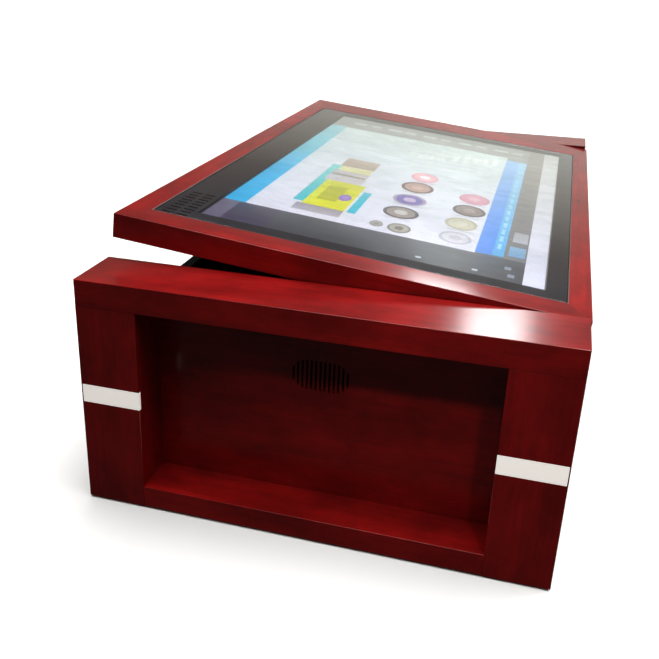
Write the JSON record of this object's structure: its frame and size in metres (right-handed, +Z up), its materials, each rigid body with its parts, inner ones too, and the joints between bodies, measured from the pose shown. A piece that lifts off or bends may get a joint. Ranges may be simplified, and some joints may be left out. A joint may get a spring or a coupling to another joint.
{
  "type": "touchscreen gaming table",
  "caption": "Low wooden gaming table with slab ends, light bands and a display under glass in a lid that tilts open on hinges and gas struts.",
  "frame": {"origin": "centre of the table's footprint, on the floor", "axes": "+X across the table towards the lid's hinges, +Y along the table away from the end that faces the viewer, +Z up"},
  "size_m": [0.7536, 1.476, 0.463],
  "materials": {
    "stained_wood": "cherry-stained board under gloss lacquer",
    "base_board": "stained board, matt",
    "batten_wood": "planed softwood",
    "frosted_acrylic": "opal acrylic, lit from behind",
    "aluminium_bar": "extruded bar",
    "speaker_black": "moulded basket and paper cone",
    "nylon": "moulded nylon",
    "rubber": "soft moulded",
    "hinge_steel": "rolled steel",
    "zinc_plate": "zinc plated steel",
    "chrome_lock": "polished chrome",
    "rod_chrome": "ground and chromed",
    "strut_black": "black powder coat",
    "glass": "toughened, polished",
    "silicone": "silicone bead",
    "mask_black": "back-printed black",
    "bezel_grey": "painted steel",
    "screen": "lit liquid-crystal panel",
    "guide_acrylic": "clear light guide",
    "sheet_black": "textured powder coat",
    "circuit_board": "solder-masked board",
    "white_case": "moulded case",
    "black_plastic": "moulded, fine texture"
  },
  "bodies": {
    "table": {"near_top_rail": "stained_wood", "near_left_stile": "stained_wood", "near_right_stile": "stained_wood", "near_bottom_rail": "stained_wood", "near_back_panel": "stained_wood", "near_light_bands": "frosted_acrylic", "near_light_bars": "aluminium_bar", "near_speaker": "speaker_black", "far_top_rail": "stained_wood", "far_left_stile": "stained_wood", "far_right_stile": "stained_wood", "far_bottom_rail": "stained_wood", "far_back_panel": "stained_wood", "far_light_bands": "frosted_acrylic", "far_light_bars": "aluminium_bar", "far_speaker": "speaker_black", "left_wall": "stained_wood", "right_wall": "stained_wood", "base_board": "base_board", "corner_battens": "batten_wood", "glides": "nylon", "lid_bumpers": "rubber", "hinge_wall_leaves": "hinge_steel", "hinge_pins": "hinge_steel", "hinge_screws": "zinc_plate", "strut_wall_brackets": "zinc_plate", "lock_barrel": "chrome_lock", "computer_case": "sheet_black", "computer_board": "circuit_board", "power_supply": "hinge_steel", "led_driver": "white_case", "power_inlet": "black_plastic", "fan_frame": "black_plastic", "vent_grille": "black_plastic", "mains_lead": "rubber"},
    "lid": {"lid_hinge_screws": "zinc_plate", "hinge_lid_leaves": "hinge_steel", "lid_near_rail": "stained_wood", "lid_far_rail": "stained_wood", "lid_left_rail": "stained_wood", "lid_right_rail": "stained_wood", "glass": "glass", "glass_bead": "silicone", "mask_plate": "mask_black", "display_bezel": "bezel_grey", "display_panel": "screen", "light_guide": "guide_acrylic", "display_tray": "hinge_steel", "display_brackets": "zinc_plate", "electronics_cover": "sheet_black", "display_board": "circuit_board", "strut_lid_brackets": "zinc_plate", "lock_keeper": "zinc_plate"},
    "near_cylinder": {"near_strut_cylinder": "strut_black"},
    "near_rod": {"near_strut_rod": "rod_chrome"},
    "far_cylinder": {"far_strut_cylinder": "strut_black"},
    "far_rod": {"far_strut_rod": "rod_chrome"},
    "cam": {"lock_cam": "zinc_plate"},
    "rocker": {"power_rocker": "black_plastic"},
    "fan": {"fan_rotor": "black_plastic"}
  },
  "joints": [
    {"name": "lid_tilt", "type": "hinge", "parent": "table", "child": "lid", "pos_m": [0.3055, 0, 0.3435], "axis": [0, 1, 0], "range_deg": [-6.2, 28.8]},
    {"name": "near_strut_swing", "type": "hinge", "parent": "table", "child": "near_cylinder", "pos_m": [0.1555, -0.592, 0.1255], "axis": [0, 1, 0], "range_deg": [-3.1, 14.3]},
    {"name": "near_strut_extend", "type": "slide", "parent": "near_cylinder", "child": "near_rod", "axis": [-0.4424, 0, 0.8968], "range_m": [-0.0237, 0.1096]},
    {"name": "far_strut_swing", "type": "hinge", "parent": "table", "child": "far_cylinder", "pos_m": [0.1555, 0.592, 0.1255], "axis": [0, 1, 0], "range_deg": [-3.1, 14.3]},
    {"name": "far_strut_extend", "type": "slide", "parent": "far_cylinder", "child": "far_rod", "axis": [-0.4424, 0, 0.8968], "range_m": [-0.0237, 0.1096]},
    {"name": "cam_turn", "type": "hinge", "parent": "table", "child": "cam", "pos_m": [-0.275, 0, 0.316], "axis": [-1, 0, 0], "range_deg": [0, 90]},
    {"name": "switch_rock", "type": "hinge", "parent": "table", "child": "rocker", "pos_m": [0.3, 0.32, 0.11], "axis": [0, 1, 0], "range_deg": [-16, 0]},
    {"name": "fan_spin", "type": "hinge", "parent": "table", "child": "fan", "pos_m": [0.269, -0.25, 0.19], "axis": [1, 0, 0], "continuous": true}
  ],
  "couplings": [
    {"joint": "near_strut_swing", "follows": "lid_tilt", "ratio": 0.49109},
    {"joint": "far_strut_swing", "follows": "lid_tilt", "ratio": 0.49109},
    {"joint": "near_strut_extend", "follows": "lid_tilt", "m_per_rad": 0.2176},
    {"joint": "far_strut_extend", "follows": "lid_tilt", "m_per_rad": 0.2176}
  ]
}
